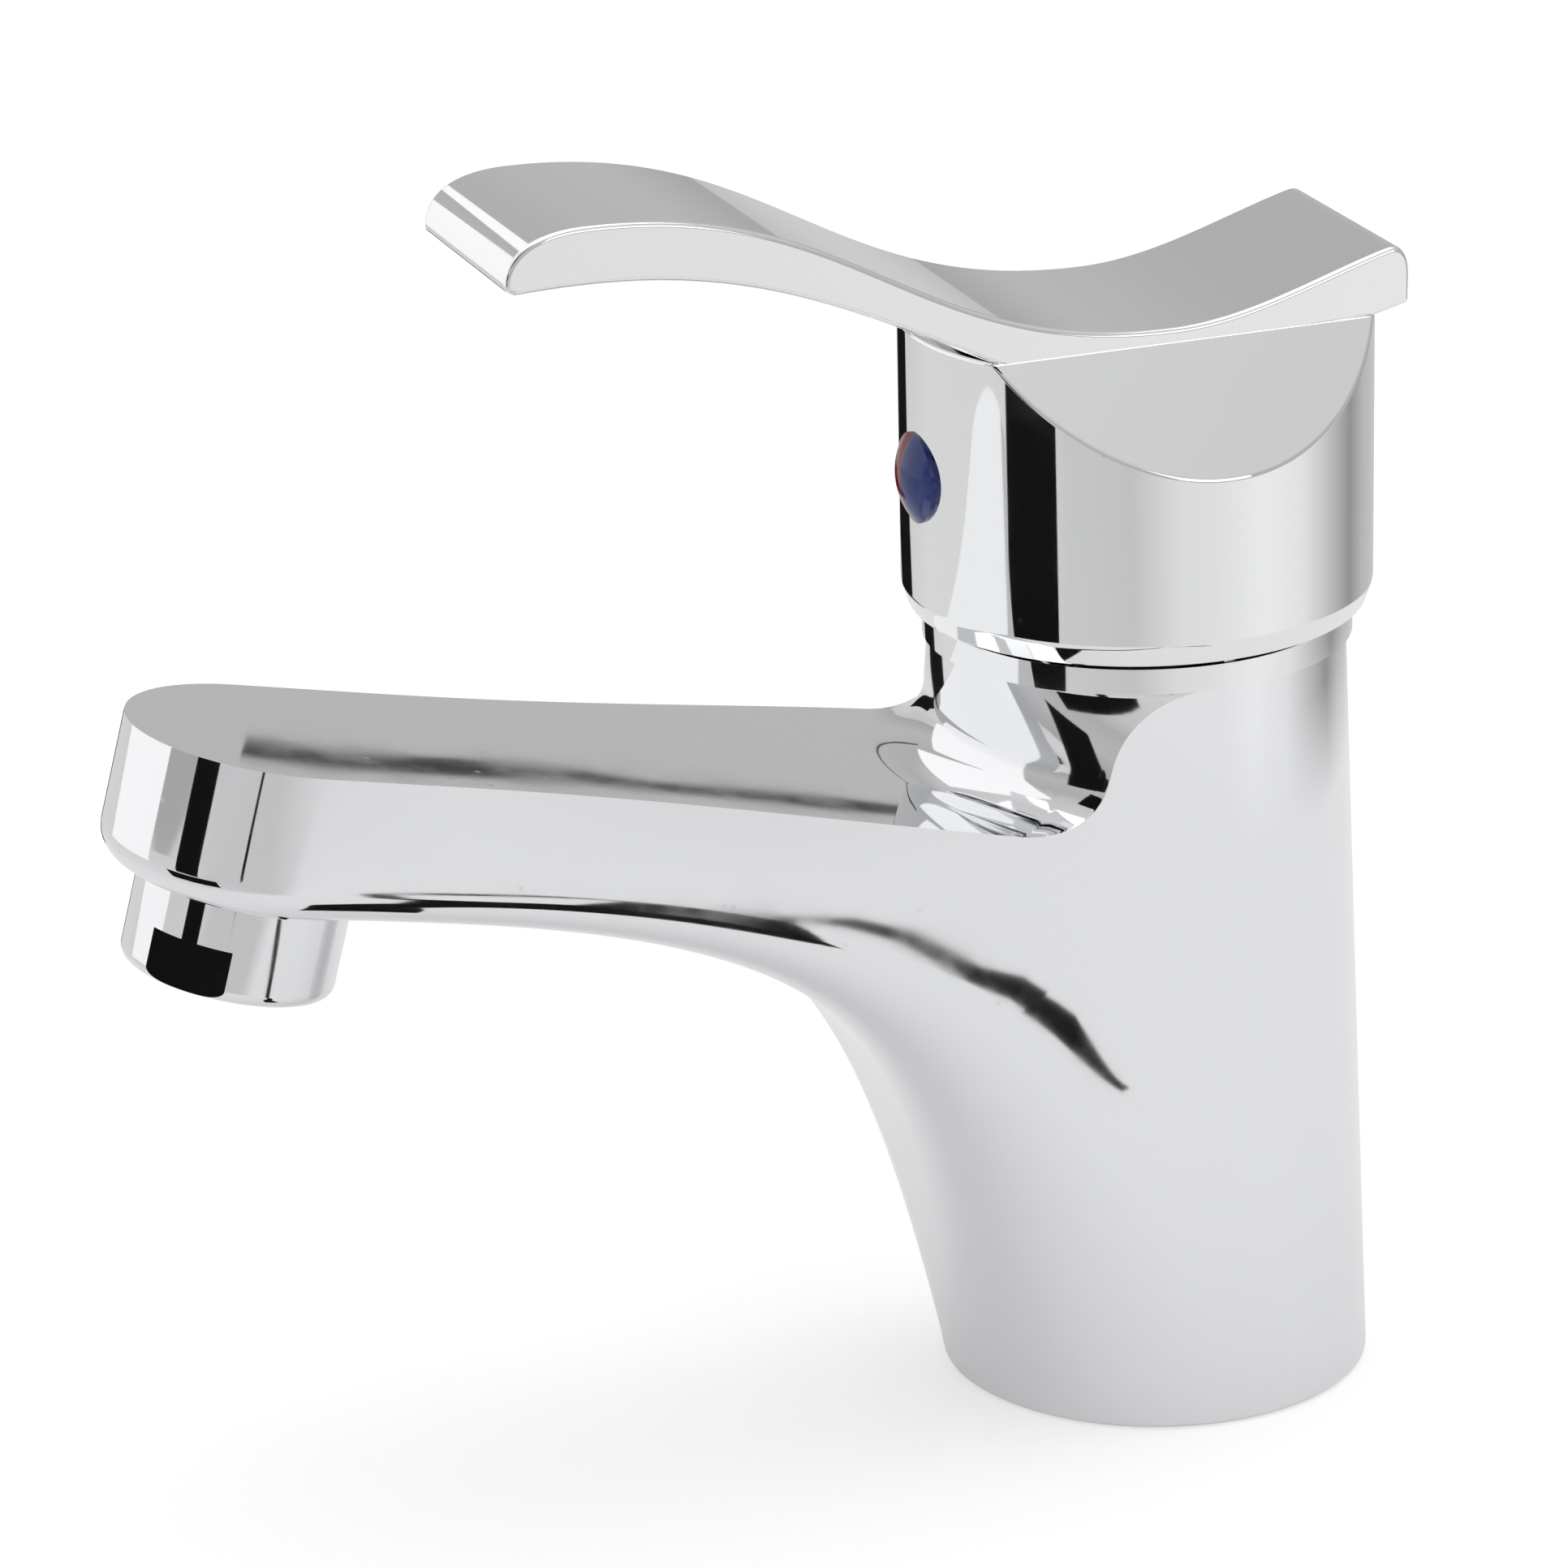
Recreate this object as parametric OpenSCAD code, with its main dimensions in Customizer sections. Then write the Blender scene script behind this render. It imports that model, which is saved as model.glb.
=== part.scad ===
// Single-lever washbasin mixer tap: cast body with rising spout, ceramic-disc
// cartridge, wave-shaped lever cap and tilted aerator.
// Millimetres. Deck level is z = 0, the spout points along -Y, hot side is -X.

/* [Body] */
// radius of the column where it stands on the basin
base_r = 26.9; // [24:0.1:32]
// radius of the neck under the lever cap
neck_r = 25.7; // [24:0.1:29]
// height of the neck rim above the basin
neck_h = 96.8; // [85:0.1:110]
// how far the cartridge axis stands in front of the base centre
axis_shift = 2; // [0:0.1:4]
// radius of the cove between the neck and the spout's top face
cove_r = 8; // [4:0.5:12]
// how much the neck's front broadens from its rim down to the cove
neck_bow = 12; // [4:0.5:16]
// height of the neck rim above the spout's top face, on the cartridge axis
neck_rise = 21.3; // [16:0.1:30]

/* [Spout] */
// distance from the base centre to the aerator axis at the spout's top face
reach = 112.5; // [90:0.5:150]
// half the width of the spout, also the radius of its round end
tip_r = 18.3; // [16:0.1:22]
// rise of the spout's top face towards the tip, degrees
top_rise = 11.8; // [0:0.1:20]
// outward lean of the aerator axis, degrees
tip_lean = 15; // [0:0.5:20]
// depth of the spout's end along the aerator axis
tip_h = 18.5; // [16:0.5:26]
// radius of the spout's lower edges at the tip; it grows to the column radius
edge_r = 4; // [2:0.1:6]

/* [Lever] */
// how far the domed ring stands out over the neck
trim_step = 0.8; // [0.4:0.1:1.5]
// gap between the domed ring and the inside of the cap
cap_gap = 1; // [0.8:0.1:2]
// wall of the cap at its lower rim
cap_wall = 1.5; // [1.2:0.1:3]
// height of the cap's lower rim above the neck
rim_gap = 4.1; // [3.5:0.1:6]
// height of the plate's low point above the cap's lower rim
cap_h = 38; // [32:0.1:48]
// width of the wave-shaped plate
plate_w = 30; // [24:0.5:40]
// how far the plate's crest rises over its low point
crest_rise = 21.4; // [10:0.1:30]
// length of the plate in front of the cartridge axis
plate_l = 85.3; // [60:0.1:110]
// height of the hot and cold mark above the cap's lower rim
mark_rise = 18.7; // [15:0.1:23]
// radius of the hot and cold mark
mark_r = 5.6; // [4:0.1:7]

/* [Cartridge] */
// radius of the cartridge housing below its flange
shell_r = 17.5; // [16:0.1:19]
// how far the flange stands out from the housing
flange_step = 2.7; // [2:0.1:3]
// depth of the cartridge seat below the neck rim
seat_depth = 30.8; // [30:0.1:34]
// height of the lever's pivot above the neck rim
pivot_rise = 1.2; // [0.6:0.1:2]
// distance from the pivot down to the ball of the spindle
arm = 10; // [8:0.1:12]
// side of the spindle's square end
square_w = 8; // [6:0.1:9]

/* [Aerator] */
// radius of the aerator's housing
aerator_r = 13; // [12:0.1:14]
// length of the housing in sight below the spout
aerator_h = 12; // [8:0.1:14]
// distance across the two wrench flats
flats_w = 23.8; // [20:0.1:25]
// radius of the aerator's thread in the spout
thread_r = 12; // [11:0.1:12.5]

/* [Connections] */
// radius of each tapped inlet for a supply hose
inlet_r = 4.5; // [4:0.1:5]
// distance between the two inlets
inlet_gap = 20; // [16:0.5:22]
// radius of the tapped hole for the fixing stud
stud_r = 3.4; // [3:0.1:4.5]
// depth of the recess in the foot of the column
foot_recess = 14; // [8:0.5:18]

/* [Fits] */
// clearance of turning and sliding pieces
run_fit = 0.05; // [0.02:0.01:0.09]
// clearance of pieces that only drop into place
seat_fit = 0.1; // [0.05:0.01:0.2]

/* [Hidden] */
$fn = 96;
axis_y = -axis_shift;
spout_slope = tan(top_rise);
spout_top0 = neck_h - neck_rise;
trim_r = neck_r + trim_step;
cap_bore_r = trim_r + cap_gap;
cap_r = cap_bore_r + cap_wall;
cap_z = neck_h + rim_gap;
valley_z = cap_z + cap_h;
mark_z = cap_z + mark_rise;
seat_z = neck_h - seat_depth;
pivot_z = neck_h + pivot_rise;
flange_r = shell_r + flange_step;
half_plate = plate_w / 2;
shell_in = shell_r - 3.1;
disc_r = shell_in - 0.8;
slide_r = disc_r - 2.8;
floor_in = seat_z + 5.6;
disc_z = seat_z + 6;
disc_h = 4;
slide_z = disc_z + disc_h + 0.02;
slide_h = 3.5;
carrier_z = slide_z + slide_h;
shoulder_z = seat_z + 22;
flange_h = 3;
port_r = 3.2;
port_x = 8.2;
port_y = -5.5;
outlet_y = 5.2;
nut_bore = flange_r + 0.3;
hub_z = cap_z + 12.5;
ball_r = 2.75;
recess_r = base_r - 5.4;
seal_out = base_r - 1.4;
seal_hole = base_r - 4;
seal_h = 1.8;
foot_y = -reach - tip_h * sin(tip_lean);
foot_z = spout_top(-reach) - tip_h * cos(tip_lean);
corner_z = spout_top0 / (1 + axis_y * spout_slope / neck_h);

// height of the spout's top face at a distance along Y
function spout_top(y) = spout_top0 - y * spout_slope;
// column radius and centre line at a height
function column_r(z) = base_r + (neck_r - base_r) * z / neck_h;
function column_y(z) = axis_y * z / neck_h;
// smooth step from 0 to 1
function ease(u) = let (c = min(1, max(0, u))) c * c * (3 - 2 * c);
// half width of the spout seen from above: column at the back, tip at the front
function wall_x(y, z) = tip_r + (column_r(z) - tip_r) * pow(ease((y + reach - 13.5) / (reach - 29.5)), 1.3);
// point on a cubic curve
function curve(a, b, c, d, t) =
    pow(1 - t, 3) * a + 3 * pow(1 - t, 2) * t * b + 3 * (1 - t) * t * t * c + t * t * t * d;
function curve_points(a, b, c, d, n) = [for (i = [0:n]) curve(a, b, c, d, i / n)];

module on_axis(z = 0) {
    translate([0, axis_y, z]) children();
}

// frame of the spout's end: origin on the aerator axis at the lower face, Z up the axis
module at_tip() {
    translate([0, foot_y, foot_z]) rotate([-tip_lean, 0, 0]) children();
}

// ring with a square section
module ring(outer, inner, h) {
    difference() {
        cylinder(r = outer, h = h);
        translate([0, 0, -1]) cylinder(r = inner, h = h + 2);
    }
}

// ---------------------------------------------------------------- body

// lower edge of the arch from the spout's end down to the front of the foot
arch_start = [4.5 - reach, foot_z - 1.6];
arch_l = reach - base_r;
arch = concat([[foot_y, foot_z]],
    curve_points(arch_start, [-base_r - 0.22 * arch_l, 0.9 * spout_top0],
        [-base_r - 0.12 * arch_l, 0.767 * spout_top0], [-base_r + 0.4, 0], 22));
fan_y = arch_start[0] - arch_start[1] * tan(11.5);
arc_steps = 8;
wall_steps = 5;
spare = 5;

// direction of one section, leaning out from a centre at deck level
function fan(i) =
    i == 0 ? [sin(tip_lean), cos(tip_lean)]
    : i == len(arch) - 1 ? [1, 0]
    : let (d = arch[i] - [fan_y, 0]) d / norm(d);
// distance along a section to just past the spout's top face or the column's middle plane
function reach_out(p, d) =
    let (up = (spout_top(p[0]) + spare - p[1]) / (d[1] + spout_slope * d[0]),
         back = (column_y(p[1]) + spare - p[0]) / (d[0] - d[1] * axis_y / neck_h))
    min(up > 0 ? up : 999, back > 0 ? back : 999);
function edge(i) = i == 0 ? edge_r
    : edge_r + (base_r - edge_r) * pow((i - 1) / (len(arch) - 2), 1.7);
// half of a section: round lower corner, then the side wall up to the outside
function half_section(i) =
    let (p = arch[i], d = fan(i), top = reach_out(p, d), r = min(edge(i), top))
    concat(
        [for (k = [0:arc_steps])
            let (a = 90 * k / arc_steps, h = r * (1 - cos(a)),
                 q = p + h * d, w = wall_x(q[0], q[1]), s = min(r, w - 0.3))
            [w - s + s * sin(a), q[0], q[1]]],
        [for (k = [1:wall_steps])
            let (q = p + (r + (top - r) * k / wall_steps) * d)
            [wall_x(q[0], q[1]), q[0], q[1]]]);
// half of a section through the round end, at a distance in front of the aerator axis
function half_end(ahead) =
    let (p = [foot_y, foot_z] + ahead * [-cos(tip_lean), sin(tip_lean)], d = fan(0),
         top = reach_out(p, d), over = max(0, ahead - tip_r + edge_r),
         low = edge_r - sqrt(edge_r * edge_r - over * over))
    concat(
        [for (k = [0:arc_steps])
            let (h = low + (edge_r - low) * (1 - cos(90 * k / arc_steps)), q = p + h * d,
                 r = tip_r - edge_r + sqrt(edge_r * edge_r - pow(edge_r - h, 2)))
            [sqrt(max(0.02, r * r - ahead * ahead)), q[0], q[1]]],
        [for (k = [1:wall_steps])
            let (q = p + (edge_r + (top - edge_r) * k / wall_steps) * d)
            [sqrt(tip_r * tip_r - ahead * ahead), q[0], q[1]]]);
end_steps = 7;
function mirrored(points) = [for (k = [len(points) - 1:-1:0]) [-points[k][0], points[k][1], points[k][2]]];

// skin of the spout and the arch: sections from the round end down to the deck
module arch_loft() {
    halves = concat([for (k = [0:end_steps - 1]) half_end(tip_r * sin(84 * (1 - k / end_steps)))],
        [for (i = [0:len(arch) - 1]) half_section(i)]);
    n = 2 * len(halves[0]);
    m = len(halves);
    points = [for (half = halves) each concat(half, mirrored(half))];
    sides = [for (i = [0:m - 2], k = [0:n - 1])
        let (a = i * n + k, b = i * n + (k + 1) % n)
        each [[a, b, a + n], [b, b + n, a + n]]];
    polyhedron(points = points, faces = concat(
        [[for (k = [n - 1:-1:0]) k]],
        sides,
        [[for (k = [0:n - 1]) (m - 1) * n + k]]), convexity = 4);
}

// slanted column between the foot and the neck rim
module column() {
    multmatrix([[1, 0, 0, 0], [0, 1, axis_y / neck_h, 0], [0, 0, 1, 0]])
        cylinder(r1 = base_r, r2 = neck_r, h = neck_h);
}

// the room of the arch loft: in front of the middle plane, below the spout's top face
module arch_room() {
    rotate([90, 0, 90]) translate([0, 0, -60]) linear_extrude(120)
        polygon([[-160, -5], [column_y(-5), -5], [column_y(corner_z), corner_z], [-160, spout_top(-160)]]);
}

// everything in front of the column's middle plane
module front_room() {
    rotate([90, 0, 90]) translate([0, 0, -60]) linear_extrude(120)
        polygon([[-160, -5], [column_y(-5), -5], [column_y(neck_h + 5), neck_h + 5], [-160, neck_h + 5]]);
}

// point of the neck's front, by angle from straight ahead and share of the way down from the
// rim: round at the rim, broader below it, and swept forward into the spout's top face
neck_meet = 0.4; // how deep the cove runs into the top face
function neck_point(a, u) =
    let (room = neck_h - spout_top(axis_y - neck_r * cos(a)),
         r = min(cove_r, 0.9 * room),
         straight = room - r + neck_meet,
         down = u * (straight + r * PI / 2),
         turn = 90 - max(0, down - straight) / r * 180 / PI,
         h = down < straight ? room - down : r * (1 - cos(turn)) - neck_meet,
         out = r * (1 - sin(turn)),
         bow = neck_bow * (1 - pow(max(0, h) / room, 2.6)),
         z = spout_top(axis_y + bow - (neck_r + out + bow) * cos(a)) + h,
         y = column_y(z) + bow - (column_r(z) + out + bow) * cos(a))
    [(column_r(z) + out + bow) * sin(a), y, spout_top(y) + h];

// front of the neck with its cove, just inside the side walls
module neck_front() {
    rows = 14;
    n = 41;
    points = [for (i = [0:rows], k = [0:n - 1]) neck_point(180 * k / (n - 1) - 90, i / rows)];
    intersection() {
        polyhedron(points = points, faces = concat(
            [[for (k = [n - 1:-1:0]) k]],
            [for (i = [0:rows - 1], k = [0:n - 1])
                let (a = i * n + k, b = i * n + (k + 1) % n)
                each [[a, b, a + n], [b, b + n, a + n]]],
            [[for (k = [0:n - 1]) rows * n + k]]), convexity = 4);
        linear_extrude(neck_h + 1) polygon(concat(
            [for (y = [-60:4:0]) [wall_x(y, 78) - 0.05, y]],
            [for (y = [0:-4:-60]) [0.05 - wall_x(y, 78), y]]));
        front_room();
    }
}

module water_ways() {
    // cartridge chamber and the wider seat for flange and nut
    on_axis(seat_z) cylinder(r = shell_r + 0.2, h = 60);
    on_axis(shoulder_z) cylinder(r = nut_bore, h = 40);
    // supply bores from the tapped inlets to the cartridge seat
    for (side = [-1, 1]) {
        translate([side * inlet_gap / 2, 2, foot_recess - 1]) cylinder(r = inlet_r, h = 13);
        hull() {
            translate([side * inlet_gap / 2, 2, foot_recess + 12]) cylinder(r = 3.4, h = 0.1, $fn = 24);
            translate([side * port_x, axis_y + port_y, seat_z - 2]) cylinder(r = 3.4, h = 0.1, $fn = 24);
        }
        translate([side * port_x, axis_y + port_y, seat_z - 2.05]) cylinder(r = port_r, h = 3);
    }
    // outlet well and the duct through the spout
    translate([0, axis_y + outlet_y, seat_z - 10]) cylinder(r = port_r, h = 11);
    duct(3.6, axis_y + outlet_y - 1, seat_z - 8.5, axis_y - 20, spout_top0 - 11.5);
    duct(6, axis_y - 16, spout_top0 - 12.5, foot_y + 3, foot_z + 9);
}

// round duct between two points of the middle plane
module duct(r, y1, z1, y2, z2) {
    length = norm([y2 - y1, z2 - z1]);
    translate([0, y1, z1]) rotate([atan2(y1 - y2, z2 - z1), 0, 0]) cylinder(r = r, h = length);
}

module body() {
    color("gainsboro") difference() {
        union() {
            intersection() {
                arch_loft();
                arch_room();
            }
            difference() {
                column();
                front_room();
            }
            neck_front();
        }
        water_ways();
        // recess in the foot, groove for the seal and tapped hole for the stud
        translate([0, 0, -1]) cylinder(r = recess_r, h = foot_recess + 1);
        translate([0, 0, -1]) ring(seal_out, seal_hole, seal_h + 1);
        translate([0, 12, foot_recess - 1]) cylinder(r = stud_r, h = 21);
        // aerator cavity: thread and, above it, the seat of the insert
        at_tip() translate([0, 0, -1]) cylinder(r = thread_r + run_fit, h = 10);
        at_tip() cylinder(r = thread_r - 1.4, h = 13);
    }
}

module base_seal() {
    color("dimgray") ring(seal_out - seat_fit, seal_hole + seat_fit, seal_h);
}

// ---------------------------------------------------------------- cartridge

module port_holes(z, h, r = port_r) {
    for (side = [-1, 1]) translate([side * port_x, port_y, z]) cylinder(r = r, h = h);
    translate([0, outlet_y, z]) cylinder(r = r, h = h);
}

// bottom plate of the cartridge with recesses for the seals on both faces
module cartridge_base() {
    color("ivory") on_axis(seat_z) difference() {
        union() {
            cylinder(r = shell_r - 0.1, h = 2);
            cylinder(r = shell_in - seat_fit, h = floor_in - seat_z);
        }
        port_holes(-1, 10, port_r - 0.4);
        port_holes(-1, 2.4, port_r + 1.3);
        port_holes(4.4, 3, port_r + 1.1);
    }
}

module port_seal(x, y) {
    color("dimgray") on_axis(seat_z) translate([x, y, 0]) ring(port_r + 1.2, port_r - 0.3, 1.4);
}

module port_seal_hot() {
    port_seal(-port_x, port_y);
}

module port_seal_cold() {
    port_seal(port_x, port_y);
}

module port_seal_outlet() {
    port_seal(0, outlet_y);
}

// lip seals between the bottom plate and the fixed disc, one around each port
module disc_gasket() {
    color("dimgray") on_axis(seat_z + 4.4) difference() {
        port_holes(0, 1.6, port_r + 1);
        port_holes(-1, 4, port_r - 0.2);
    }
}

module fixed_disc() {
    color("white") on_axis(disc_z) difference() {
        cylinder(r = disc_r, h = disc_h);
        port_holes(-1, disc_h + 2);
        for (side = [-1, 1]) translate([side * disc_r, 0, -1]) cylinder(r = 1.6, h = disc_h + 2);
    }
}

// disc that slides and turns on the fixed one; the pocket mixes hot and cold
module moving_disc() {
    color("white") on_axis(slide_z) difference() {
        cylinder(r = slide_r, h = slide_h);
        translate([0, 3, -1]) cylinder(r = 5.5, h = 3);
        for (side = [-1, 1]) translate([side * 4.6, 1.6, -1]) cylinder(r = 3.4, h = 3);
        for (side = [-1, 1]) translate([side * slide_r, 0, 1.2]) cylinder(r = 1.5, h = 4);
    }
}

// carries the moving disc and is pushed by the spindle's ball
module disc_carrier() {
    color("ivory") on_axis(carrier_z) difference() {
        union() {
            cylinder(r = slide_r, h = 6.3);
            translate([-6.5, -7, 0]) cube([13, 14, pivot_z - arm + 2 - carrier_z]);
            for (side = [-1, 1]) intersection() {
                translate([side * slide_r, 0, -1.6]) cylinder(r = 1.4, h = 2);
                cylinder(r = slide_r, h = 8, center = true);
            }
        }
        translate([0, 0, pivot_z - arm - carrier_z - 4]) cylinder(r = ball_r + 0.15, h = 20);
    }
}

module cartridge_shell() {
    color("ivory") on_axis() difference() {
        union() {
            translate([0, 0, seat_z + 2]) cylinder(r = shell_r, h = 30);
            translate([0, 0, shoulder_z]) cylinder(r = flange_r, h = flange_h);
            cylinder_at(shell_r - 1, shoulder_z, pivot_z + 2);
        }
        // everything above the flange is narrower than the nut
        translate([0, 0, shoulder_z + flange_h]) ring(30, shell_r - 1, 20);
        cylinder_at(shell_in, seat_z - 1, pivot_z + 0.2);
        cylinder_at(12.5 + run_fit, seat_z, pivot_z + 5);
    }
    // ribs that hold the fixed disc and the bottom plate from turning
    color("ivory") on_axis() for (side = [-1, 1]) intersection() {
        translate([side * disc_r, 0, disc_z]) cylinder(r = 1.5, h = disc_h);
        translate([0, 0, disc_z - 1]) ring(shell_r - 1, disc_r - 1.6, disc_h + 2);
    }
}

module cylinder_at(r, z1, z2) {
    translate([0, 0, z1]) cylinder(r = r, h = z2 - z1);
}

// turning guide: carries the pivot pin and leads the carrier between its legs
module rotor() {
    neck_top = pivot_z + 5;
    color("silver") on_axis() difference() {
        union() {
            cylinder_at(shell_in - run_fit, carrier_z + 6.5, pivot_z - 0.4);
            cylinder_at(12.5, pivot_z - 1, neck_top);
        }
        translate([-6.55, -20, carrier_z]) cube([13.1, 40, 12]);
        translate([-3.7, -7.4, carrier_z]) cube([7.4, 14.8, 30]);
        translate([-20, 0, pivot_z]) rotate([0, 90, 0]) cylinder(r = 1.5 + 0.02, h = 40);
    }
}

module glide_ring() {
    color("white") on_axis(pivot_z - 0.4) ring(shell_in - run_fit, 12.5 + run_fit, 0.6);
}

module pivot_pin() {
    color("lightgray") translate([-12.3, axis_y, pivot_z]) rotate([0, 90, 0]) cylinder(r = 1.5, h = 24.6);
}

// lever arm of the cartridge: ball below the pivot, square end above it
module spindle() {
    color("silver") on_axis(pivot_z) difference() {
        union() {
            translate([0, 0, -arm]) sphere(r = ball_r, $fn = 48);
            translate([0, 0, -arm]) cylinder(r = 2, h = arm);
            intersection() {
                translate([-3.6, -3.6, -4.5]) cube([7.2, 7.2, 14]);
                translate([0, 0, -4.5]) cylinder(r1 = 3.2, r2 = 8, h = 6);
            }
            translate([-3.6, -3.6, 1]) cube([7.2, 7.2, 13]);
            translate([-square_w / 2, -square_w / 2, 13]) cube([square_w, square_w, 17]);
        }
        translate([-20, 0, 0]) rotate([0, 90, 0]) cylinder(r = 1.5 + run_fit, h = 40);
    }
}

// brass nut that clamps the cartridge flange into the neck
module clamp_nut() {
    z1 = shoulder_z + flange_h;
    color("goldenrod") on_axis() difference() {
        union() {
            cylinder_at(nut_bore - 0.05, z1, neck_h);
            translate([0, 0, neck_h]) cylinder(r = shell_r + 1.5, h = 6, $fn = 6);
        }
        cylinder_at(shell_r - 0.9, z1 - 1, neck_h + 20);
    }
}

// domed ring that hides the nut and closes the gap under the lever cap
module trim_ring() {
    color("gainsboro") on_axis(neck_h) difference() {
        rotate_extrude() difference() {
            union() {
                square([trim_r, 3.2]);
                intersection() {
                    translate([14, -4.05]) circle(r = trim_r - 12.05);
                    translate([0, 3]) square([trim_r, 8]);
                }
            }
            intersection() {
                translate([14, -4.05]) circle(r = trim_r - 13.65);
                translate([-1, 3]) square([trim_r, 8]);
            }
            translate([-1, -1]) square([nut_bore + 1.8, 4.2]);
            translate([-1, -1]) square([15, 20]);
            translate([neck_r - 2.9, -1]) square([1.7, 2.3]);
        }
    }
}

// round seal in the groove under the trim ring
module trim_seal() {
    color("dimgray") on_axis(neck_h) ring(neck_r - 1.3, neck_r - 2.8, 1.25);
}

// ---------------------------------------------------------------- lever

crest_z = valley_z + crest_rise;
nose_y = axis_y - plate_l;
crest_y = nose_y + 10.3;
rear_y = cap_r - 4;

// side outline of the wave-shaped plate
module plate_outline() {
    polygon(concat(
        curve_points([nose_y, crest_z - 6.6], [nose_y, crest_z - 2.2],
                     [crest_y - 6.5, crest_z], [crest_y, crest_z], 8),
        curve_points([crest_y, crest_z], [crest_y + 34, crest_z],
                     [-37, valley_z], [-3, valley_z], 14),
        curve_points([-3, valley_z], [7, valley_z],
                     [16, valley_z + 4.2], [rear_y, valley_z + 6.5], 8),
        curve_points([rear_y, valley_z + 6.5], [rear_y + 1.8, valley_z + 6.9],
                     [rear_y + 2.6, valley_z + 5], [rear_y + 2.6, valley_z + 3], 4),
        [[rear_y + 2.6, valley_z - 0.7], [rear_y - 2, valley_z - 1.8], [10, valley_z - 2.4]],
        [[-24, valley_z - 2.4]],
        curve_points([-26, valley_z - 1.9], [-48, valley_z + 9.1],
                     [-60, crest_z - 5.8], [nose_y + 1.3, crest_z - 7.3], 12)));
}

// cylinder with its two upper flanks cut away at an angle
module cap_solid(r, drop) {
    on_axis() intersection() {
        cylinder_at(r, cap_z - 12, valley_z - 2 - drop);
        rotate([90, 0, 0]) translate([0, 0, -40]) linear_extrude(80) polygon([
            [-r - 1, cap_z - 20], [r + 1, cap_z - 20], [r + 1, valley_z - 15 - drop],
            [cap_r, valley_z - 15 - drop], [half_plate, valley_z - 1.6 - drop],
            [-half_plate, valley_z - 1.6 - drop], [-cap_r, valley_z - 15 - drop],
            [-r - 1, valley_z - 15 - drop]]);
    }
}

module handle() {
    color("gainsboro") difference() {
        union() {
            rotate([90, 0, 90]) translate([0, 0, -half_plate]) linear_extrude(plate_w) plate_outline();
            difference() {
                cap_solid(cap_r, 0);
                cap_solid(cap_bore_r, 2.2);
                // below the rim nothing is left; the rim is bevelled
                on_axis(cap_z - 30) cylinder(r = 60, h = 30);
                on_axis(cap_z) rotate_extrude()
                    polygon([[cap_r - 0.9, -1], [cap_r + 2, -1], [cap_r + 2, 2.6], [cap_r, 2.6], [cap_r - 0.9, 0]]);
            }
            on_axis(hub_z) cylinder(r = 9, h = valley_z - 3 - hub_z);
            on_axis(mark_z) rotate([90, 0, 0]) cylinder(r = mark_r, h = cap_bore_r + 0.6);
        }
        translate([-square_w / 2 - 1.05, axis_y - square_w / 2 - 1.05, hub_z - 1])
            cube([square_w + 2.1, square_w + 2.1, 17]);
        on_axis(mark_z) rotate([90, 0, 0]) cylinder(r = 2.5, h = 40);
        on_axis(mark_z) rotate([90, 0, 0]) translate([0, 0, 12]) cylinder(r = 3.6, h = 40);
        on_axis(mark_z) rotate([90, 0, 0]) translate([0, 0, cap_r - 1]) cylinder(r = mark_r + 0.1, h = 5);
    }
}

// plastic bush that takes up the play between spindle and lever
module spindle_bush() {
    color("ivory") on_axis(hub_z) difference() {
        translate([-square_w / 2 - 1, -square_w / 2 - 1, 0]) cube([square_w + 2, square_w + 2, 15]);
        translate([-square_w / 2 - run_fit / 2, -square_w / 2 - run_fit / 2, -1])
            cube([square_w + run_fit, square_w + run_fit, 20]);
        translate([0, 0, mark_z - hub_z]) rotate([90, 0, 0]) cylinder(r = 2.55, h = 20);
    }
}

// grub screw behind the mark, clamps the lever on the spindle
module set_screw() {
    color("dimgray") on_axis(mark_z) rotate([90, 0, 0]) difference() {
        translate([0, 0, square_w / 2]) cylinder(r = 2.48, h = 7);
        translate([0, 0, square_w / 2 + 4]) cylinder(r = 1.45, h = 5, $fn = 6);
    }
}

// front of the cap where the mark sits
module at_mark() {
    on_axis(mark_z) rotate([90, 0, 0]) translate([0, 0, cap_r - 1]) children();
}

module mark_plug() {
    color("ivory") at_mark() difference() {
        union() {
            translate([0, 0, -9]) cylinder(r = 3.55, h = 9);
            cylinder(r = mark_r, h = 1.2);
        }
        translate([0, 0, -10]) cylinder(r = 2.4, h = 8);
    }
}

// one half of the domed two-colour button
module mark_half(side) {
    at_mark() translate([0, 0, 1.2]) intersection() {
        rotate_extrude() intersection() {
            translate([0, -7.6]) circle(r = 9.4);
            square([mark_r, 5]);
        }
        translate([side > 0 ? 0 : -10, -10, 0]) cube([10, 20, 10]);
    }
}

module cold_mark() {
    color("mediumblue") mark_half(1);
}

module hot_mark() {
    color("firebrick") mark_half(-1);
}

// ---------------------------------------------------------------- aerator

module aerator_housing() {
    color("gainsboro") at_tip() difference() {
        union() {
            translate([0, 0, -aerator_h]) rotate_extrude() {
                translate([0, 1.6]) square([aerator_r, aerator_h - 1.6]);
                square([aerator_r - 1.6, aerator_h]);
                intersection() {
                    translate([aerator_r - 1.6, 1.6]) circle(r = 1.6);
                    square([aerator_r, 1.6]);
                }
            }
            cylinder(r = thread_r, h = 8.5);
        }
        translate([0, 0, -aerator_h - 1]) cylinder(r = 9.2, h = 40);
        translate([0, 0, -aerator_h + 2]) cylinder(r = 10.2, h = 40);
        for (turn = [0, 180]) rotate(turn - 43)
            translate([flats_w / 2, -20, -aerator_h - 1]) cube([10, 40, 7.4]);
    }
}

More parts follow.
